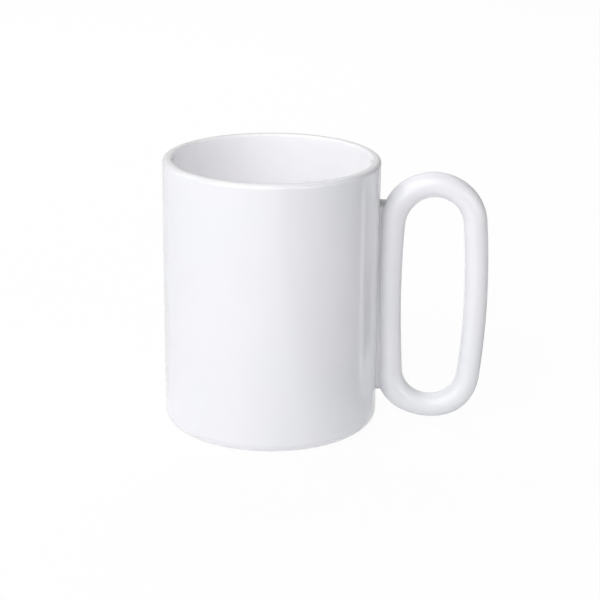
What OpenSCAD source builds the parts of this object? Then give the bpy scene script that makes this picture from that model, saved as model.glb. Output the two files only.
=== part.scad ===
// Shaving mug: a straight stoneware cup with a closed loop handle stuck to its side.
// Millimetres, +Z up. The origin is the centre of the foot, on the cup's axis.
// The handle stands out along +X.

/* [Cup] */
// Outer diameter of the straight wall
cup_d = 80; // [70:1:100]
// Height from the table to the top of the lip
cup_h = 101; // [97:1:120]
// Thickness of the wall
wall_t = 3.4; // [2.8:0.1:4.2]
// Thickness of the floor over the recess in the foot
floor_t = 4.6; // [3.6:0.2:7]
// Radius inside, where the wall runs down into the floor
inner_corner_r = 9; // [5:0.5:14]
// Radius of the lip's outer half, the inner half takes the rest of the wall
lip_outer_r = 2.3; // [2.1:0.1:2.6]

/* [Foot] */
// Radius of the edge between the wall and the foot
foot_edge_r = 4.1; // [2.5:0.1:6]
// Width of the flat ring that the mug stands on
foot_ring_w = 3.2; // [2.4:0.2:5]
// Depth of the recess inside the ring
foot_recess = 1.6; // [0.8:0.1:2.6]

/* [Handle] */
// Diameter of the rod in the loop's two legs
rod_d = 8.9; // [7:0.1:11]
// How much thicker the rod is round the top than in the legs, and thinner round the bottom
rod_taper = 0.12; // [0.08:0.02:0.4]
// Height of the loop's lowest point above the table
loop_lift = 1; // [0.6:0.1:6]
// Height of the whole loop, outside to outside
loop_h = 95.5; // [85:0.5:99]
// Bend radius of the rod's centre line round the top
top_bend_r = 15.2; // [12:0.1:19]
// Bend radius of the rod's centre line round the bottom
bottom_bend_r = 14.6; // [12:0.1:19]
// Radius of the slight bow in the leg beside the cup
inner_leg_r = 428; // [150:1:600]
// Radius of the slight bow in the leg under the fingers
outer_leg_r = 292; // [120:1:600]

/* [Joint] */
// Depth to which the inner leg is hollowed to sit round the wall
cope_depth = 0.8; // [0.3:0.05:1.5]
// Thickness of the slip between the hollowed leg and the wall
slip_t = 0.4; // [0.2:0.05:1]
// Width of the strip of slip round the cup
slip_w = 4; // [3:0.1:4.4]
// Height of the slip's lower end above the loop's lowest point
slip_foot = 10.2; // [9:0.2:20]
// Distance of the slip's upper end below the loop's highest point
slip_head = 11.2; // [9:0.2:20]

/* [Hidden] */
fine = 240;
rod_fine = 192;
very_fine = 1800;
over = 1;
// Length by which a thinner stretch of the rod runs into the thicker one beyond its end
rod_lap = 0.6;

cup_r = cup_d / 2;
inner_r = cup_r - wall_t;
floor_z = foot_recess + floor_t;
hollow_z = floor_z + inner_corner_r;
lip_inner_r = wall_t - lip_outer_r;
foot_flat_r = cup_r - foot_edge_r;
recess_r = foot_flat_r - foot_ring_w;

rod_r = rod_d / 2;
top_rod_r = (rod_d + rod_taper) / 2;
bottom_rod_r = (rod_d - rod_taper) / 2;
top_z = loop_lift + loop_h - top_rod_r - top_bend_r;
bottom_z = loop_lift + bottom_rod_r + bottom_bend_r;
centres_h = top_z - bottom_z;

// A bowed leg is an arc that touches both bends from outside.
// Its centre is this far above the bottom bend's centre, and this far across from it.
function bow_rise(r) =
    ((r - bottom_bend_r) ^ 2 - (r - top_bend_r) ^ 2 + centres_h ^ 2) / (2 * centres_h);
function bow_across(r) = sqrt((r - bottom_bend_r) ^ 2 - bow_rise(r) ^ 2);

// Angle above the horizontal at which a leg meets the top bend, and below it at the bottom bend
function bow_top_angle(r) = atan2(centres_h - bow_rise(r), bow_across(r));
function bow_bottom_angle(r) = atan2(bow_rise(r), bow_across(r));

inner_leg_x = cup_r + slip_t - cope_depth + rod_r;
bends_x = inner_leg_x + inner_leg_r - bow_across(inner_leg_r);

// Quarter of a disc between the +X and +Y directions
module quarter_disc(r) {
    intersection() {
        circle(r, $fn = fine);
        square(2 * r);
    }
}

// Half section of the cup's solid outside, before it is hollowed
module cup_block() {
    square([foot_flat_r, foot_edge_r]);
    translate([foot_flat_r, foot_edge_r])
        mirror([0, 1])
            quarter_disc(foot_edge_r);
    translate([0, foot_edge_r])
        square([cup_r, hollow_z - foot_edge_r]);
}

// Half section of the wall above the block, with the lip's two rounds
module cup_wall() {
    lip_z = cup_h - lip_outer_r;
    translate([inner_r, hollow_z])
        square([wall_t, lip_z - hollow_z]);
    translate([cup_r - lip_outer_r, lip_z])
        quarter_disc(lip_outer_r);
    translate([inner_r, lip_z])
        square([lip_inner_r, lip_outer_r - lip_inner_r]);
    translate([inner_r + lip_inner_r, cup_h - lip_inner_r])
        mirror([1, 0])
            quarter_disc(lip_inner_r);
}

// Half section of the bottom of the hollow inside the cup
module cup_hollow() {
    corner_x = inner_r - inner_corner_r;
    translate([0, floor_z])
        square([corner_x, inner_corner_r]);
    translate([corner_x, hollow_z])
        mirror([0, 1])
            quarter_disc(inner_corner_r);
    translate([0, hollow_z])
        square([inner_r, over]);
}

// Half section of the recess inside the foot ring, whose flank is a quarter round
module foot_hollow() {
    flank_x = recess_r - foot_recess;
    square([flank_x, foot_recess]);
    translate([flank_x, 0])
        quarter_disc(foot_recess);
    translate([0, -over])
        square([recess_r, over]);
}

module cup() {
    color("whitesmoke")
        rotate_extrude($fn = fine) {
            difference() {
                cup_block();
                cup_hollow();
                foot_hollow();
            }
            cup_wall();
        }
}

// Angle that the lap takes up on a bend
function lap_angle(bend_r) = rod_lap / bend_r * 180 / PI;

// Rod bent round a centre in the XZ plane, between two angles from +X towards +Z
module bent_rod(x, z, bend_r, r, from, to) {
    facets = bend_r > cup_d ? very_fine : fine;
    translate([x, 0, z])
        rotate([90, 0, 0])
            rotate_extrude(angle = to - from, start = from, $fn = facets)
                translate([bend_r, 0])
                    circle(r, $fn = rod_fine);
}

// Leg that bows towards the side, -1 for the cup and 1 for the fingers, and laps into the top bend
module bowed_leg(leg_r, side) {
    low = -bow_bottom_angle(leg_r);
    high = bow_top_angle(leg_r) + lap_angle(leg_r);
    bent_rod(bends_x - side * bow_across(leg_r), bottom_z + bow_rise(leg_r), leg_r, rod_r,
        side > 0 ? low : 180 - high, side > 0 ? high : 180 - low);
}

// The whole loop: two bends, and two bowed legs between them
module loop_rod() {
    lap = lap_angle(bottom_bend_r);
    bent_rod(bends_x, top_z, top_bend_r, top_rod_r,
        bow_top_angle(outer_leg_r), 180 - bow_top_angle(inner_leg_r));
    bowed_leg(inner_leg_r, -1);
    bowed_leg(outer_leg_r, 1);
    bent_rod(bends_x, bottom_z, bottom_bend_r, bottom_rod_r,
        180 + bow_bottom_angle(inner_leg_r) - lap, 360 - bow_bottom_angle(outer_leg_r) + lap);
}

// The loop with its inner leg hollowed to the curve of the wall
module loop_handle() {
    color("white")
        difference() {
            loop_rod();
            translate([0, 0, loop_lift - over])
                cylinder(r = cup_r + slip_t, h = loop_h + 2 * over, $fn = very_fine);
        }
}

// The strip of slip that sticks the leg to the wall and fills the wedges where the loop bends away
module joint_slip() {
    slip_z = loop_lift + slip_foot;
    slip_h = loop_h - slip_foot - slip_head;
    color("snow")
        difference() {
            translate([cup_r - over, -slip_w / 2, slip_z])
                cube([inner_leg_x - cup_r + over, slip_w, slip_h]);
            translate([0, 0, slip_z - over])
                cylinder(r = cup_r, h = slip_h + 2 * over, $fn = very_fine);
            loop_handle();
        }
}

cup();
loop_handle();
joint_slip();
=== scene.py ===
# %% [markdown]
# # A white glazed shaving mug
#
# The mug is three pieces of clay under one coat of clear glaze: a straight cup, a loop handle bent
# from a round rod, and the strip of slip that sticks the loop to the cup's side. The construction is
# loaded as a fixed frame, and this lesson gives each piece a finer surface and a real finish.

import math

import bpy
import numpy as np
from mathutils import Matrix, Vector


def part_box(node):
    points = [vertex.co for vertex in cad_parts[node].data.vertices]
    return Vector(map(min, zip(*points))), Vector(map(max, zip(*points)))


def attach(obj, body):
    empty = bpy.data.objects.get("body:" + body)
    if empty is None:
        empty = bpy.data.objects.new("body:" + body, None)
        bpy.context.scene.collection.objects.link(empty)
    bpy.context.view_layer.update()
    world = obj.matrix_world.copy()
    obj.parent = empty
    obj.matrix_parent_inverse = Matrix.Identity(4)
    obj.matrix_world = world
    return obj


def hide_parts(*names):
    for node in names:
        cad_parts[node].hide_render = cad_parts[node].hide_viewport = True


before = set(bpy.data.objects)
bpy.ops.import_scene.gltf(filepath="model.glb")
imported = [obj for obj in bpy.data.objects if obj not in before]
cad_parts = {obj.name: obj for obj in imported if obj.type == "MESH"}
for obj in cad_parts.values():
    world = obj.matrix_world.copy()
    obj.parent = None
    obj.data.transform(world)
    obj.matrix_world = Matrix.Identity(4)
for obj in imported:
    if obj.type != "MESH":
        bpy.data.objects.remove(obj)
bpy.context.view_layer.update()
print("nodes:", sorted(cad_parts))

# %% [markdown]
# ## Sizes
#
# Places come from the frame's own boxes. The few sizes that a box can't tell, such as the bend radii
# of the rod and the thickness of the wall, are written here once, in metres.

# %% Read the sizes
MM = 0.001
cup_low, cup_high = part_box("cup")
loop_low, loop_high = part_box("loop_handle")
slip_low, slip_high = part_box("joint_slip")

cup_r = (cup_high.x - cup_low.x) / 2
cup_h = cup_high.z
wall_t = 3.4 * MM
lip_outer_r = 1.7 * MM
lip_inner_r = 1.0 * MM
floor_t = 4.6 * MM
inner_corner_r = 9 * MM
foot_edge_r = 4.1 * MM
foot_ring_w = 3.2 * MM
foot_recess = 1.6 * MM
foot_corner_r = 0.5 * MM

rod_top_r = 4.51 * MM
rod_leg_r = 4.45 * MM
rod_bottom_r = 4.39 * MM
top_bend_r = 15.2 * MM
bottom_bend_r = 14.6 * MM
inner_leg_r = 428 * MM
outer_leg_r = 292 * MM
slip_t = 0.4 * MM
print("cup: radius %.1f mm, height %.1f mm" % (cup_r / MM, cup_h / MM))

# %% [markdown]
# ## From a grid of points to a mesh
#
# Every piece is a grid of points with rows and columns. One helper joins each point to its
# neighbours, closes the grid round a ring where asked, and ends it in a single pole point.

# %% Mesh helper
def grid_faces(rows, columns, wrap_rows):
    """Four-cornered faces of a grid whose columns close into a ring.

    Point (i, j) has the number i * columns + j. A face joins (i, j), (i, j + 1), (i + 1, j + 1)
    and (i + 1, j), and j + 1 is counted round the ring, as is i + 1 where the rows close too.
    """
    i = np.arange(rows if wrap_rows else rows - 1)[:, None]
    j = np.arange(columns)[None, :]
    i_next = (i + 1) % rows
    j_next = (j + 1) % columns
    corners = [i * columns + j, i * columns + j_next, i_next * columns + j_next, i_next * columns + j]
    return np.stack(corners, axis=-1).reshape(-1, 4)


def pole_faces(ring_start, columns, pole, outward):
    """Triangles from one pole point to a ring of the grid, turned the way that faces outwards."""
    j = np.arange(columns)
    ring = ring_start + j
    ring_next = ring_start + (j + 1) % columns
    order = [ring_next, ring] if outward else [ring, ring_next]
    return np.stack([np.full(columns, pole), *order], axis=-1)


def surface_piece(name, grid, wrap_rows=False, poles=()):
    """Makes a smooth mesh object at the origin from a (rows, columns, 3) grid of points.

    poles holds a point for the first row and a point for the last, or nothing.
    """
    rows, columns = grid.shape[:2]
    points = grid.reshape(-1, 3)
    faces = grid_faces(rows, columns, wrap_rows).tolist()
    if poles:
        first = rows * columns
        faces += pole_faces(0, columns, first, True).tolist()
        faces += pole_faces((rows - 1) * columns, columns, first + 1, False).tolist()
        points = np.concatenate([points, np.array(poles)])
    mesh = bpy.data.meshes.new(name)
    mesh.from_pydata(points.tolist(), [], faces)
    mesh.polygons.foreach_set("use_smooth", np.ones(len(faces), bool))
    mesh.update()
    piece = bpy.data.objects.new(name, mesh)
    bpy.context.scene.collection.objects.link(piece)
    print("%s: %d points, %d faces" % (name, len(points), len(faces)))
    return piece


# %% [markdown]
# ## The cup
#
# A cup like this is formed in a mould against a turning profile, so its shape is one line carried
# round an axis. The line starts under the foot, goes out over the ring that stands on the table,
# round the edge, up the wall, over the lip and down the inside. Its corners are arcs, and the
# straight stretches get extra points near their ends, so that the shading stays even.

# %% Profile of the cup
straight_points = 26
foot_arc_points = 8
edge_arc_points = 22
lip_arc_points = 16
corner_arc_points = 26
touch_gap = 0.01 * MM
near_axis = 0.4 * MM


def arc(centre_r, centre_z, radius, start, end, count):
    """Points (r, z) on a circle round a centre, from one angle to another in degrees."""
    angle = np.radians(np.linspace(start, end, count))
    return np.stack([centre_r + radius * np.cos(angle), centre_z + radius * np.sin(angle)], axis=1)


def straight(start, end, count):
    """Points between two ends, without the ends, closer together near both."""
    share = (1 - np.cos(np.linspace(0, math.pi, count + 2)[1:-1])) / 2
    return np.array(start) + share[:, None] * (np.array(end) - np.array(start))


def chain(*stretches):
    """Joins arcs, and puts a straight stretch between two whose ends don't touch."""
    joined = [stretches[0]]
    for stretch in stretches[1:]:
        end = joined[-1][-1]
        if np.allclose(end, stretch[0], atol=touch_gap):
            joined.append(stretch[1:])
        else:
            joined.append(straight(end, stretch[0], straight_points))
            joined.append(stretch)
    return np.concatenate(joined)


def cup_profile():
    """The (r, z) line of the cup's section, from near the axis under the foot to near it on the floor."""
    inner_r = cup_r - wall_t
    floor_z = foot_recess + floor_t
    ring_outer = cup_r - foot_edge_r
    ring_inner = ring_outer - foot_ring_w
    flank = foot_recess - foot_corner_r
    return chain(
        np.array([[near_axis, foot_recess]]),
        arc(ring_inner - flank, foot_corner_r, flank, 90, 0, foot_arc_points),
        arc(ring_inner + foot_corner_r, foot_corner_r, foot_corner_r, 180, 270, foot_arc_points),
        arc(ring_outer, foot_edge_r, foot_edge_r, -90, 0, edge_arc_points),
        arc(cup_r - lip_outer_r, cup_h - lip_outer_r, lip_outer_r, 0, 90, edge_arc_points),
        arc(inner_r + lip_inner_r, cup_h - lip_inner_r, lip_inner_r, 90, 180, lip_arc_points),
        arc(inner_r - inner_corner_r, floor_z + inner_corner_r, inner_corner_r, 0, -90, corner_arc_points),
        np.array([[near_axis, floor_z]]),
    )


line = cup_profile()
print("cup profile: %d points" % len(line))

# %% [markdown]
# A turned shape from a computer is too perfect. A fired cup is a tenth of a millimetre out of round
# and its lip dips a little, so the ring is bent by two slow waves. The waves die away at the axis.

# %% Make the cup
out_of_round = 0.1 * MM
round_phase = 0.7
lip_dip = 0.12 * MM
dip_phase = 2.1
cup_columns = 288

turn = np.linspace(0, 2 * math.pi, cup_columns, endpoint=False)[None, :]
radius = line[:, :1]
height = line[:, 1:]
share_out = radius / cup_r
share_up = np.clip(height / cup_h, 0, 1)
radius = radius + share_out * share_up * out_of_round * np.cos(2 * turn + round_phase)
height = height - share_up ** 4 * lip_dip * (0.5 + 0.5 * np.cos(2 * turn + dip_phase))
cup_grid = np.stack([radius * np.cos(turn), radius * np.sin(turn), height], axis=-1)
cup_poles = [(0, 0, line[0, 1]), (0, 0, line[-1, 1])]
cup_shell = surface_piece("cup_shell", cup_grid, poles=cup_poles)

# %% [markdown]
# ## The loop handle
#
# The maker rolls a rod of clay, bends it into a loop on a board, and hollows one leg to sit round
# the wall. The loop's centre line is four arcs that touch: two tight bends, and two legs that bow
# out slightly. A leg's centre lies where its distances to the bends' centres are its radius less theirs.

# %% Path of the loop
leg_points = 90
bend_points = 110
top_centre_z = loop_high.z - rod_top_r - top_bend_r
bottom_centre_z = loop_low.z + rod_bottom_r + bottom_bend_r
centres_h = top_centre_z - bottom_centre_z


def bow(leg_r):
    """How far a bowed leg's centre is above the bottom bend's centre, and how far across from it.

    With b and a the leg's radius less the bottom and the top bend's, and h between the bends, the
    rise is (b squared - a squared + h squared) / 2h, and across squared is b squared - rise squared.
    """
    low = leg_r - bottom_bend_r
    high = leg_r - top_bend_r
    rise = (low ** 2 - high ** 2 + centres_h ** 2) / (2 * centres_h)
    return rise, math.sqrt(low ** 2 - rise ** 2)


outer_rise, outer_across = bow(outer_leg_r)
inner_rise, inner_across = bow(inner_leg_r)
outer_leg_x = loop_high.x - rod_leg_r
bends_x = outer_leg_x - outer_leg_r + outer_across
outer_top = math.degrees(math.atan2(centres_h - outer_rise, outer_across))
outer_bottom = math.degrees(math.atan2(outer_rise, outer_across))
inner_top = math.degrees(math.atan2(centres_h - inner_rise, inner_across))
inner_bottom = math.degrees(math.atan2(inner_rise, inner_across))


def loop_path():
    """Points (x, z) of the centre line and its outward directions, once round from the outer leg's foot."""
    stretches = [
        (bends_x - outer_across, bottom_centre_z + outer_rise, outer_leg_r,
         -outer_bottom, outer_top, leg_points),
        (bends_x, top_centre_z, top_bend_r,
         outer_top, 180 - inner_top, bend_points),
        (bends_x + inner_across, bottom_centre_z + inner_rise, inner_leg_r,
         180 - inner_top, 180 + inner_bottom, leg_points),
        (bends_x, bottom_centre_z, bottom_bend_r,
         180 + inner_bottom, 360 - outer_bottom, bend_points),
    ]
    points = np.concatenate([arc(*stretch)[:-1] for stretch in stretches])
    angles = np.concatenate([np.radians(np.linspace(*stretch[3:]))[:-1] for stretch in stretches])
    return points, np.stack([np.cos(angles), np.sin(angles)], axis=1)


path, outward = loop_path()
print("loop: %d points, bends %.1f mm apart" % (len(path), centres_h / MM))

# %% [markdown]
# The rod is a circle carried along that line. It thins a little from the top bend to the bottom one
# and along the outer leg, and swells at the two shoulders where it leaves the wall, as soft clay does
# when it is pressed on. Where it would enter the wall, its points move out to the hollow cut for it.

# %% Make the handle
rod_columns = 72
rod_mid_r = 4.51 * MM
rod_taper = 0.13 * MM
finger_thin = 0.18 * MM
swell_spread = 9 * MM
# A pressed spot's x and z, how much thicker the rod is there, and how far it is pushed outwards.
pressed_spots = (
    (bends_x - 11.5 * MM, top_centre_z + 10 * MM, 0.33 * MM, -0.07 * MM),
    (bends_x - 11.5 * MM, bottom_centre_z - 9 * MM, 0.37 * MM, 0.26 * MM),
    (bends_x - 15 * MM, bottom_centre_z - 4 * MM, 0.25 * MM, 0.35 * MM),
    (bends_x - 2 * MM, bottom_centre_z - bottom_bend_r, -0.16 * MM, -0.39 * MM),
    (bends_x + 9 * MM, bottom_centre_z - 11.5 * MM, 0.34 * MM, 0.22 * MM),
)


def near(points, x, z):
    """1 at a place in the loop's plane, and e to the minus (distance / spread) squared away from it."""
    return np.exp(-((points[:, 0] - x) ** 2 + (points[:, 1] - z) ** 2) / swell_spread ** 2)


climb = (path[:, 1] - bottom_centre_z) / centres_h
under_fingers = np.clip((path[:, 0] - bends_x) / top_bend_r, 0, 1)
rod_r = rod_mid_r + rod_taper * (climb - 0.5) - finger_thin * under_fingers
shift = np.zeros(len(path))
for spot_x, spot_z, swell, push in pressed_spots:
    closeness = near(path, spot_x, spot_z)
    rod_r = rod_r + swell * closeness
    shift = shift + push * closeness
rod_r = rod_r[:, None]
rod_path = path + shift[:, None] * outward
ring = np.linspace(0, 2 * math.pi, rod_columns, endpoint=False)[None, :]
reach = rod_r * np.cos(ring)
loop_grid = np.stack([
    rod_path[:, :1] + reach * outward[:, :1],
    rod_r * np.sin(ring),
    rod_path[:, 1:] + reach * outward[:, 1:],
], axis=-1)
cope_r = cup_r + slip_t
from_cup_axis = np.hypot(loop_grid[..., 0], loop_grid[..., 1])
loop_grid[..., :2] *= np.maximum(1, cope_r / from_cup_axis)[..., None]
loop_rod = surface_piece("loop_rod", loop_grid, wrap_rows=True)

# %% [markdown]
# ## The slip between them
#
# Slip is clay thinned to a cream. It glues the leg to the wall, and a damp finger wipes what squeezes
# out into a hollow fillet. At each height its section is a closed ring of four lines: along the wall,
# a hollow flank out to the rod, along the rod, and the other flank back.

# %% Make the joint
slip_sink = 0.12 * MM
slip_waist = 0.9
slip_rows = 140
slip_foot_lift = 0.8 * MM
slip_head_lift = 0.45 * MM
edge_points = 12
width_heights = np.array([11, 14, 20, 54, 62, 75, 81, 86]) * MM
half_widths = np.array([1.2, 2.3, 2.9, 2.9, 2.45, 2.15, 1.3, 0.7]) * MM


def rod_face_x(y, z):
    """x of the loop's face towards the cup, at a distance y from its plane and a height z.

    A bent rod is a ring round its bend's centre: outside its middle line by the square root of the
    rod's radius squared less y squared. The leg's bend holds between the two bends' own heights, and
    the face is never nearer to the cup than the hollow that was cut for the wall.
    """
    half = np.sqrt(rod_leg_r ** 2 - y ** 2)
    leg = bends_x + inner_across - np.sqrt(
        (inner_leg_r + half) ** 2 - (z - bottom_centre_z - inner_rise) ** 2)
    above = np.maximum(z - top_centre_z, 0)
    below = np.maximum(bottom_centre_z - z, 0)
    top = bends_x - np.sqrt((top_bend_r + half) ** 2 - above ** 2)
    bottom = bends_x - np.sqrt((bottom_bend_r + half) ** 2 - below ** 2)
    face = np.where(z > top_centre_z, top, np.where(z < bottom_centre_z, bottom, leg))
    return np.maximum(face, np.sqrt(cope_r ** 2 - y ** 2))


def hollow(t, start, waist, end):
    """A curve that a waist pulls in: start (1 - t) squared, plus waist 2t(1 - t), plus end t squared."""
    return (1 - t) ** 2 * start + 2 * t * (1 - t) * waist + t ** 2 * end


def slip_section(z):
    """Ring of points of the slip at the heights z, as (rows, points, 3).

    Each flank is a hollow curve from the wall to the rod or back. Its ends lie half the strip's width
    from the loop's plane, and its waist lies nearer. The strip is full low down and thin at both ends.
    """
    z = z[:, None]
    t = np.linspace(0, 1, edge_points, endpoint=False)[None, :]
    half_w = np.interp(z, width_heights, half_widths)
    wall_y = half_w * (1 - 2 * t)
    wall_x = np.sqrt(cup_r ** 2 - wall_y ** 2) - slip_sink
    rod_y = -wall_y
    rod_x = rod_face_x(rod_y, z) + slip_sink
    foot_x = np.sqrt(cup_r ** 2 - half_w ** 2) - slip_sink
    head_x = rod_face_x(half_w, z) + slip_sink
    waist_x = (foot_x + head_x) / 2
    flank_y = hollow(t, half_w, slip_waist * half_w, half_w)
    out_x = hollow(t, foot_x, waist_x, head_x)
    back_x = hollow(t, head_x, waist_x, foot_x)
    x = np.concatenate([wall_x, out_x, rod_x, back_x], axis=1)
    y = np.concatenate([wall_y, -flank_y, rod_y, flank_y], axis=1)
    return np.stack([x, y, z + 0 * x], axis=-1)


slip_z = np.linspace(slip_low.z + slip_foot_lift, slip_high.z + slip_head_lift, slip_rows)
slip_grid = slip_section(slip_z)
slip_ends = slip_grid[[0, -1]].mean(axis=1)
slip_fillet = surface_piece("slip_fillet", slip_grid, poles=slip_ends.tolist())

# %% [markdown]
# ## Shader maths in Python
#
# A finish is worked out by nodes. One small class wraps a node's output, so that sums of values read
# as Python, and one method makes any other node from its type, its settings and its inputs.

# %% A class for shader values
class Shade:
    """One output of a node: a value or a colour that changes over a surface."""

    def __init__(self, tree, socket):
        self.tree = tree
        self.socket = socket

    def node(self, kind, settings=None, inputs=None, out=0):
        """Adds a node: settings are its properties, inputs the values or links of its sockets."""
        made = self.tree.nodes.new(kind)
        for name, value in (settings or {}).items():
            setattr(made, name, value)
        for name, value in (inputs or {}).items():
            if isinstance(value, Shade):
                self.tree.links.new(value.socket, made.inputs[name])
            else:
                made.inputs[name].default_value = value
        return Shade(self.tree, made.outputs[out])

    def maths(self, operation, other, swapped=False):
        """This value and another under one operation, with the other first where they are swapped."""
        first, second = (other, self) if swapped else (self, other)
        return self.node("ShaderNodeMath", {"operation": operation}, {0: first, 1: second})

    def __add__(self, other):
        return self.maths("ADD", other)

    def __sub__(self, other):
        return self.maths("SUBTRACT", other)

    def __rsub__(self, other):
        return self.maths("SUBTRACT", other, True)

    def __mul__(self, other):
        return self.maths("MULTIPLY", other)

    __radd__ = __add__
    __rmul__ = __mul__

    def ramp(self, low, high):
        """0 below low, 1 above high and smooth between, also where low is the larger."""
        return self.node("ShaderNodeMapRange", {"interpolation_type": "SMOOTHSTEP"},
                         {"Value": self, "From Min": low, "From Max": high})

    def mix(self, first, second):
        """Colour between two, with this value as the share of the second."""
        return self.node("ShaderNodeMix", {"data_type": "RGBA"}, {0: self, 6: first, 7: second}, out=2)

    def split(self):
        """The x, y and z of a place, as three values."""
        parts = self.node("ShaderNodeSeparateXYZ", inputs={0: self}).socket.node
        return [Shade(self.tree, socket) for socket in parts.outputs]


def new_material(name):
    """An empty material, its object coordinates as a Shade, and the socket that takes its shader."""
    material = bpy.data.materials.new(name)
    material.use_nodes = True
    tree = material.node_tree
    tree.nodes.clear()
    start = Shade(tree, tree.nodes.new("ShaderNodeTexCoord").outputs["Object"])
    end = tree.nodes.new("ShaderNodeOutputMaterial").inputs["Surface"]
    return material, start, end


# %% [markdown]
# ## Glaze
#
# Clear glaze on white clay isn't one white. It is thin and a little warm over the lip, where it runs
# off, and the lip's crest is also held down there as painted shade against the light on its upward
# face. Beside the wall it is darker and cool, partly glaze that pools and partly painted shade in the
# crease between handle and cup. Inside the cup and on the handle it is painted whiter, as painted
# light, and the slip's ends are painted dark grey, as painted shade in the notch where the rod leaves
# the wall. In between it is faintly clouded. Its surface is glassy with slow ripples and a few
# pinholes, and a little duller on the handle. The ring under the foot is wiped bare before firing, so
# it stays dull.

# %% Colours of the glaze
cup_whites = (0.85, 0.84, 0.878, 1), (0.822, 0.836, 0.863, 1)
# Painted light: the handle's whites are a little lighter than the cup's, to lift the handle's shading.
rod_whites_painted_lighter = (0.875, 0.865, 0.903, 1), (0.847, 0.861, 0.888, 1)
# Painted light: the inside is painted much whiter than the outside, for the light that fills the cup.
inside_painted_light_white = (0.968, 0.963, 0.978, 1)
# Partly thin glaze, partly painted shade: it keeps the lip's crest from shining brighter under the light on
# it.
thin_glaze_and_shade_white = (0.85, 0.845, 0.855, 1)
# Grey for pooled glaze and for painted shade in the crease at the wall. Pinholes take it too.
pool_and_crease_shade_grey = (0.68, 0.685, 0.70, 1)
# Painted shade: dark grey for the notch at each end of the slip, where the rod leaves the wall.
notch_painted_shade_grey = (0.24, 0.24, 0.235, 1)
bare_clay = (0.80, 0.77, 0.72, 1)
pool_and_shade_share = 0.7
pinhole_share = 0.25
upper_notch_shade_share = 0.8
lower_notch_shade_share = 0.3
print("glaze: whites of the cup", cup_whites)

# %% [markdown]
# Each change of the glaze has a place. A pair of numbers says where it starts and where it is
# complete, as a distance in metres or as a level of the noise that draws it.

# %% Places of the glaze
cloud_scale = 24
ripple_scale = 70
peel_scale = 520
pore_scale = 190
patch_scale = 60
grit_scale = 2400

cloud_level = 0.35, 0.7
pore_level = 0.085, 0.03
patch_level = 0.58, 0.66
grit_level = 0.3, 0.7

inside_wall = cup_r - 0.3 * wall_t, cup_r - 0.8 * wall_t
inside_floor = foot_recess, floor_t
# Band of the lip's crest that takes the warm thin glaze and the painted shade.
thin_lip_and_shade = cup_h - 0.55 * MM, cup_h - 0.15 * MM
bare_foot = 0.45 * MM, 0.12 * MM
# Heights where the painted notch shade at the slip's ends starts and is complete.
upper_notch_shade_z = slip_high.z - 2.2 * MM, slip_high.z - 0.2 * MM
lower_notch_shade_z = slip_low.z + 4 * MM, slip_low.z + 1.5 * MM
notch_shade_wander = 1.5 * MM
# Widths of the grey beside the wall: pooled glaze and painted crease shade.
rod_pool_and_shade_w = 6 * MM
slip_pool_and_shade_w = 2.5 * MM
print("pores: one in about %.1f mm, and pinholes where they lie in a patch" % (1 / pore_scale / MM))

# %% [markdown]
# Gloss comes from a low roughness under a clear coat. Noise makes the surface a little uneven, and
# the same noise lifts and sinks it by a few hundredths of a millimetre.

# %% Gloss of the glaze
cup_rough = 0.05
rod_rough = 0.2
peel_rough = 0.04
pinhole_rough = 0.25
bare_rough = 0.62
grit_rough = 0.2
cup_coat = 0.42
rod_coat = 0.3
cloud_coat = 0.14
coat_rough = 0.03
glass_ior = 1.5
bump_h = 0.06 * MM
ripple_bump = 0.6
peel_bump = 0.06
pinhole_bump = 0.3
grit_bump = 0.6


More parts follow.
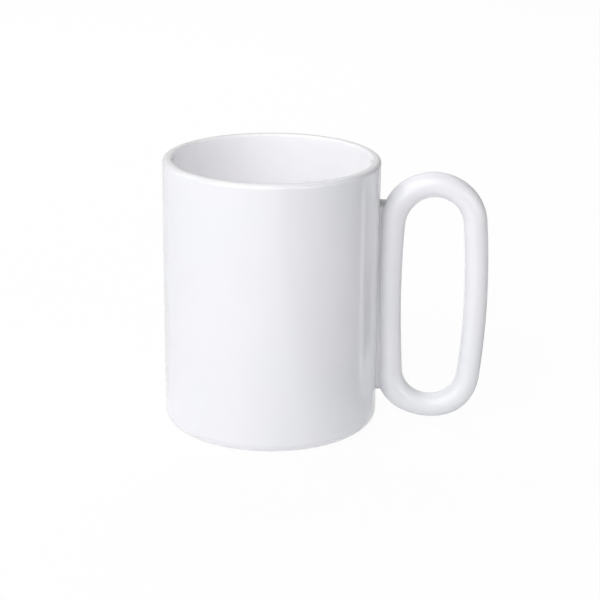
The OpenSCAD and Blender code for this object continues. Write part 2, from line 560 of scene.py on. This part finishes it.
def glaze(name, whites, rough, coat, pool_and_shade_w=0, on_cup=False, on_slip=False):
    """The mug's finish: a white with clouds of a second one, and its least roughness and most coat.

    Beside the wall it turns grey over a given width, partly pooled glaze and partly painted shade in the
    crease. On the cup it is painted whiter inside, as painted light, and it is wiped off the ring under
    the foot. On the slip both ends are painted dark grey, most at the upper one, as painted shade in the
    notch where the rod leaves the wall.
    """
    material, place, end = new_material(name)
    x, y, z = place.split()
    flat_place = place.node("ShaderNodeCombineXYZ", inputs={"X": x, "Y": y})
    from_axis = place.node("ShaderNodeVectorMath", {"operation": "LENGTH"}, {0: flat_place}, out=1)

    def noise(scale, detail):
        """Soft noise in the object's own space, with a number of finer layers."""
        return place.node("ShaderNodeTexNoise", inputs={"Vector": place, "Scale": scale, "Detail": detail})

    cloud = noise(cloud_scale, 3).ramp(*cloud_level)
    ripple = noise(ripple_scale, 1)
    orange_peel = noise(peel_scale, 2)
    pore = place.node("ShaderNodeTexVoronoi", inputs={"Vector": place, "Scale": pore_scale})
    pinhole = pore.ramp(*pore_level) * noise(patch_scale, 0).ramp(*patch_level)

    colour = cloud.mix(*whites)
    # Painted light: the inside of the cup is painted whiter.
    if on_cup:
        inside_painted_light = from_axis.ramp(*inside_wall) * z.ramp(*inside_floor)
        colour = inside_painted_light.mix(colour, inside_painted_light_white)
    # Painted shade on the lip's crest, with the warm tint of thin glaze.
    colour = z.ramp(*thin_lip_and_shade).mix(colour, thin_glaze_and_shade_white)
    # Painted shade: the glaze greys towards the wall, partly pooled glaze and partly shade in the crease.
    if pool_and_shade_w:
        colour = (pool_and_shade_share * from_axis.ramp(cup_r + pool_and_shade_w, cup_r)).mix(colour, pool_and_crease_shade_grey)
    colour = (pinhole_share * pinhole).mix(colour, pool_and_crease_shade_grey)
    # Painted shade: both ends of the slip are painted dark, most at the upper one, for the notch there.
    if on_slip:
        ragged_z = z + notch_shade_wander * cloud
        upper_notch_shade = upper_notch_shade_share * ragged_z.ramp(*upper_notch_shade_z)
        lower_notch_shade = lower_notch_shade_share * ragged_z.ramp(*lower_notch_shade_z)
        colour = (upper_notch_shade + lower_notch_shade).mix(colour, notch_painted_shade_grey)
    rough = rough + peel_rough * orange_peel + pinhole_rough * pinhole
    coat = coat - cloud_coat * cloud
    height = ripple_bump * ripple + peel_bump * orange_peel - pinhole_bump * pinhole
    if on_cup:
        bare = z.ramp(*bare_foot)
        grit = noise(grit_scale, 3)
        colour = bare.mix(colour, grit.ramp(*grit_level).mix(bare_clay, whites[0]))
        rough = rough + bare * (bare_rough + grit_rough * grit)
        coat = coat * (1 - bare)
        height = height + grit_bump * bare * grit
    bump = place.node("ShaderNodeBump", inputs={"Height": height, "Distance": bump_h, "Strength": 1.0})
    shader = place.node("ShaderNodeBsdfPrincipled", inputs={
        "Base Color": colour, "Roughness": rough, "Coat Weight": coat, "Normal": bump,
        "IOR": glass_ior, "Coat Roughness": coat_rough, "Coat IOR": glass_ior})
    place.tree.links.new(shader.socket, end)
    return material


# %% [markdown]
# Each piece takes its glaze, and the place of its node in the construction.

# %% Dress the pieces
def dress(piece, node, material):
    """Gives a piece its finish, and puts it in its CAD node's place on the mug."""
    piece.data.materials.append(material)
    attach(piece, "root")
    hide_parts(node)
    print("%s: %s" % (piece.name, material.name))


dress(cup_shell, "cup",
      glaze("glaze on the cup", cup_whites, cup_rough, cup_coat, on_cup=True))
dress(loop_rod, "loop_handle",
      glaze("glaze on the handle", rod_whites_painted_lighter, rod_rough, rod_coat, pool_and_shade_w=rod_pool_and_shade_w))
dress(slip_fillet, "joint_slip",
      glaze("glaze over the slip", cup_whites, cup_rough, cup_coat, pool_and_shade_w=slip_pool_and_shade_w, on_slip=True))

# %% [markdown]
# ## Floor and backdrop
#
# The mug is shown on plain white. The floor and the world are white to the camera and in reflections,
# and a share of the floor's own shading is kept, so that the mug still has a soft shadow under it.

# %% White floor
floor_half = 3.0
floor_gap = 0.1 * MM
floor_share = 0.06
floor_white = (0.95, 0.95, 0.95, 1)
full_white = (1, 1, 1, 1)


def sheet(name, points, faces, material):
    """A thin piece of the studio: a mesh object at the origin with one material."""
    mesh = bpy.data.meshes.new(name)
    mesh.from_pydata(points.tolist(), [], faces)
    mesh.materials.append(material)
    made = bpy.data.objects.new(name, mesh)
    bpy.context.scene.collection.objects.link(made)
    return made


def seen_white(start):
    """1 on rays from the camera, in reflections and through glass, and 0 on the rays that carry light."""
    path_node = start.node("ShaderNodeLightPath").socket.node
    names = ("Is Camera Ray", "Is Glossy Ray", "Is Transmission Ray")
    camera, glossy, through = [Shade(start.tree, path_node.outputs[name]) for name in names]
    return (camera + glossy).maths("MAXIMUM", through)


floor_paint, floor_place, floor_end = new_material("white floor")
floor_matt = floor_place.node("ShaderNodeBsdfDiffuse", inputs={"Color": floor_white})
floor_glow = floor_place.node("ShaderNodeEmission", inputs={"Color": full_white, "Strength": 1.0})
floor_mix = floor_place.node("ShaderNodeMixShader", inputs={
    0: seen_white(floor_place) * (1 - floor_share), 1: floor_matt, 2: floor_glow})
floor_place.tree.links.new(floor_mix.socket, floor_end)
floor_corners = np.array([(-1, -1), (1, -1), (1, 1), (-1, 1)]) * floor_half
floor_points = np.column_stack([floor_corners, np.full(len(floor_corners), -floor_gap)])
floor = sheet("floor", floor_points, [range(len(floor_points))], floor_paint)
print("floor: %.1f m across" % (2 * floor_half))

# %% [markdown]
# A floor that glows white in reflections would wipe out the mug's edges, because at a glancing angle
# glaze mirrors much of what is behind it. So a round sheet of matt paper lies on the floor, and only
# reflections see it. It takes the lamps and the mug's shadow, which draws the edges on the far side.
#
# The paper is painted dark to the right, a painted shade seen only in reflections, so that the handle's
# own mirror image shows on the cup as a light line. A strip in front of the cup and behind the handle
# glows though it lights nothing, a painted light seen only in reflections, which keeps the cup's foot
# and the inner edges of the loop light.

# %% Paper sheet
paper_light = (0.85, 0.85, 0.855, 1)
paper_painted_shade = (0.14, 0.14, 0.145, 1)
paper_bright = (0.9, 0.9, 0.905, 1)
paper_half = 0.8
paper_lift = 0.05 * MM
paper_corners = 64

# Where each change starts and where it is complete, in metres to the right and to the back.
dark_right = 0.05, 0.09
dark_back = 0.12, 0.0
dark_lean = 0.30
strip_left = -0.05, -0.03
strip_right = 0.115, 0.09
strip_back = 0.0, 0.03
strip_right_in_front = 0.06, 0.035
strip_front = -0.16, -0.06


def only_in_reflections(thing):
    """Hides a thing from the camera, and lets it neither light the mug nor shade it."""
    thing.visible_camera = False
    thing.visible_diffuse = False
    thing.visible_shadow = False


paper_paint, paper_place, paper_end = new_material("matt paper")
paper_x, paper_y = paper_place.split()[:2]
# Painted shade in the reflections: the paper is dark to the right.
painted_shade_part = paper_x.ramp(*dark_right) * (paper_y - dark_lean * paper_x).ramp(*dark_back)
behind_leg = paper_x.ramp(*strip_right) * paper_y.ramp(*strip_back)
before_cup = paper_x.ramp(*strip_right_in_front) * paper_y.ramp(*strip_front)
# Painted light in the reflections: a strip that glows though it lights nothing.
painted_light_part = paper_x.ramp(*strip_left) * behind_leg.maths("MAXIMUM", before_cup)
paper_tone = painted_shade_part.mix(paper_light, paper_painted_shade)
paper_matt = paper_place.node("ShaderNodeBsdfDiffuse", inputs={"Color": paper_tone})
paper_painted_glow = paper_place.node("ShaderNodeEmission", inputs={"Color": paper_bright})
paper_mix = paper_place.node("ShaderNodeMixShader", inputs={0: painted_light_part, 1: paper_matt, 2: paper_painted_glow})
paper_place.tree.links.new(paper_mix.socket, paper_end)
paper_turn = np.linspace(0, 2 * math.pi, paper_corners, endpoint=False)
paper_rim = np.stack([np.cos(paper_turn), np.sin(paper_turn)], axis=1) * paper_half
paper_points = np.column_stack([paper_rim, np.full(paper_corners, paper_lift - floor_gap)])
paper = sheet("paper", paper_points, [range(paper_corners)], paper_paint)
only_in_reflections(paper)
print("paper sheet: %.1f m across, seen only in reflections" % (2 * paper_half))

# %% [markdown]
# Higher up, glaze at a glancing angle mirrors what stands behind the mug. Here that is a curved grey
# card, again for reflections alone. It glows with its own grey and lights nothing, so the dark edges it
# gives are a painted reflection. It is darker on the right, which darkens the lip's right end.
# Azimuths count from the camera's side of the mug towards the right of the picture.

# %% Grey card
card_away = 0.7
card_h = 0.8
card_azimuths = range(95, 246, 5)
card_fade = 0.0, 0.5
card_light = (0.55, 0.55, 0.56, 1)
card_dark = (0.2, 0.2, 0.21, 1)
handle_turn = math.radians(4.01)


def round_the_mug(azimuth):
    """Unit vector to a side of the mug, counted in degrees from the camera's side to the picture's right."""
    turned = math.radians(azimuth - 90) + handle_turn
    return np.array([math.cos(turned), math.sin(turned), 0])


card_paint, card_place, card_end = new_material("grey card")
card_x = card_place.split()[0]
# Painted reflection: the card glows its own grey, darker to the right.
card_tone = card_x.ramp(*card_fade).mix(card_light, card_dark)
card_painted_reflection = card_place.node("ShaderNodeEmission", inputs={"Color": card_tone})
card_place.tree.links.new(card_painted_reflection.socket, card_end)
card_low = card_away * np.array([round_the_mug(azimuth) for azimuth in card_azimuths])
card_points = np.concatenate([card_low, card_low + [0, 0, card_h]])
card_steps = len(card_low)
card_faces = [(i, i + 1, card_steps + i + 1, card_steps + i) for i in range(card_steps - 1)]
card = sheet("card", card_points, card_faces, card_paint)
only_in_reflections(card)
print("grey card: %.1f m away, %.1f m high" % (card_away, card_h))

# %% [markdown]
# The world is white wherever it is seen, and gives no light of its own.

# %% World
world = bpy.data.worlds.new("white studio")
world.use_nodes = True
world_tree = world.node_tree
world_tree.nodes.clear()
world_start = Shade(world_tree, world_tree.nodes.new("ShaderNodeTexCoord").outputs["Generated"])
backdrop = world_start.node("ShaderNodeBackground", inputs={
    "Color": full_white, "Strength": seen_white(world_start)})
world_end = world_tree.nodes.new("ShaderNodeOutputWorld")
world_tree.links.new(backdrop.socket, world_end.inputs["Surface"])
bpy.context.scene.world = world
print("world:", world.name)

# %% [markdown]
# ## Light
#
# A white mug on white needs light from all round, with one side stronger, or it has no shape. A large
# soft light stands to the left of the camera, and weaker ones fill the front, the right and the back.
# Two of them are kept out of reflections, where they would show as hard spots or bleach the edges.
# Light goes on from wall to wall inside a white cup, so it is followed over many bounces.

# %% Studio lights
lamp_away = 1.3
white_bounces = 16
most_bounces = 24
# Name, azimuth and elevation in degrees, width in metres, power in watts, and seen in reflections.
lamps = (
    ("key light", 325, 33, 1.6, 14.4, True),
    ("high front light", 340, 58, 1.5, 5.7, True),
    ("right front fill", 40, 12, 0.5, 1.75, True),
    ("low right fill", 82, 7, 0.3, 1.2, False),
    ("back light", 178, 45, 0.9, 7.8, False),
    ("left back fill", 234, 29, 0.9, 4.4, True),
)


def soft_light(name, azimuth, elevation, size, power, mirrored):
    """A square lamp on a sphere round the mug, with its face turned to the mug's middle."""
    raised = math.radians(elevation)
    away = math.cos(raised) * round_the_mug(azimuth) + np.array([0, 0, math.sin(raised)])
    side = round_the_mug(azimuth + 90)
    place = away * lamp_away + np.array([0, 0, cup_h / 2])
    lamp = bpy.data.lights.new(name, "AREA")
    lamp.size = size
    lamp.energy = power
    holder = bpy.data.objects.new(name, lamp)
    axes = [(*side, 0), (*np.cross(away, side), 0), (*away, 0), (*place, 1)]
    holder.matrix_world = Matrix(axes).transposed()
    holder.visible_glossy = mirrored
    bpy.context.scene.collection.objects.link(holder)


for lamp_row in lamps:
    soft_light(*lamp_row)
bpy.context.scene.cycles.diffuse_bounces = white_bounces
bpy.context.scene.cycles.max_bounces = most_bounces
print("lamps:", len(lamps))

# %% [markdown]
# ## Camera
#
# The camera stands in front and a little above, far enough for a long lens, with the handle turned
# slightly towards it. Its place and turns were found by fitting the cup's outline.

# %% Place the camera
image_px = 600
focal_px = 1800
sensor_mm = 36
sight_end = 20
camera_away = 0.6398
camera_up = 0.2622
camera_yaw = math.radians(0.966)
camera_pitch = math.radians(18.684)
camera_roll = math.radians(0.575)

ahead = np.array([math.sin(camera_yaw), math.cos(camera_yaw), 0])
level = np.array([math.cos(camera_yaw), -math.sin(camera_yaw), 0])
zenith = np.array([0, 0, 1])
view_axis = ahead * math.cos(camera_pitch) - zenith * math.sin(camera_pitch)
upright = zenith * math.cos(camera_pitch) + ahead * math.sin(camera_pitch)
view_right = level * math.cos(camera_roll) + upright * math.sin(camera_roll)
view_up = upright * math.cos(camera_roll) - level * math.sin(camera_roll)

lens = bpy.data.cameras.new("camera")
lens.sensor_width = sensor_mm
lens.lens = focal_px / image_px * sensor_mm
lens.clip_end = sight_end
camera = bpy.data.objects.new("camera", lens)
view_axes = [(*axis, 0) for axis in (view_right, view_up, -view_axis)] + [(0, -camera_away, camera_up, 1)]
camera.matrix_world = Matrix.Rotation(handle_turn, 4, "Z") @ Matrix(view_axes).transposed()
bpy.context.scene.collection.objects.link(camera)
bpy.context.scene.camera = camera
bpy.context.scene.view_settings.view_transform = "Standard"
print("camera: %.0f mm lens, %.2f m away" % (lens.lens, camera_away))
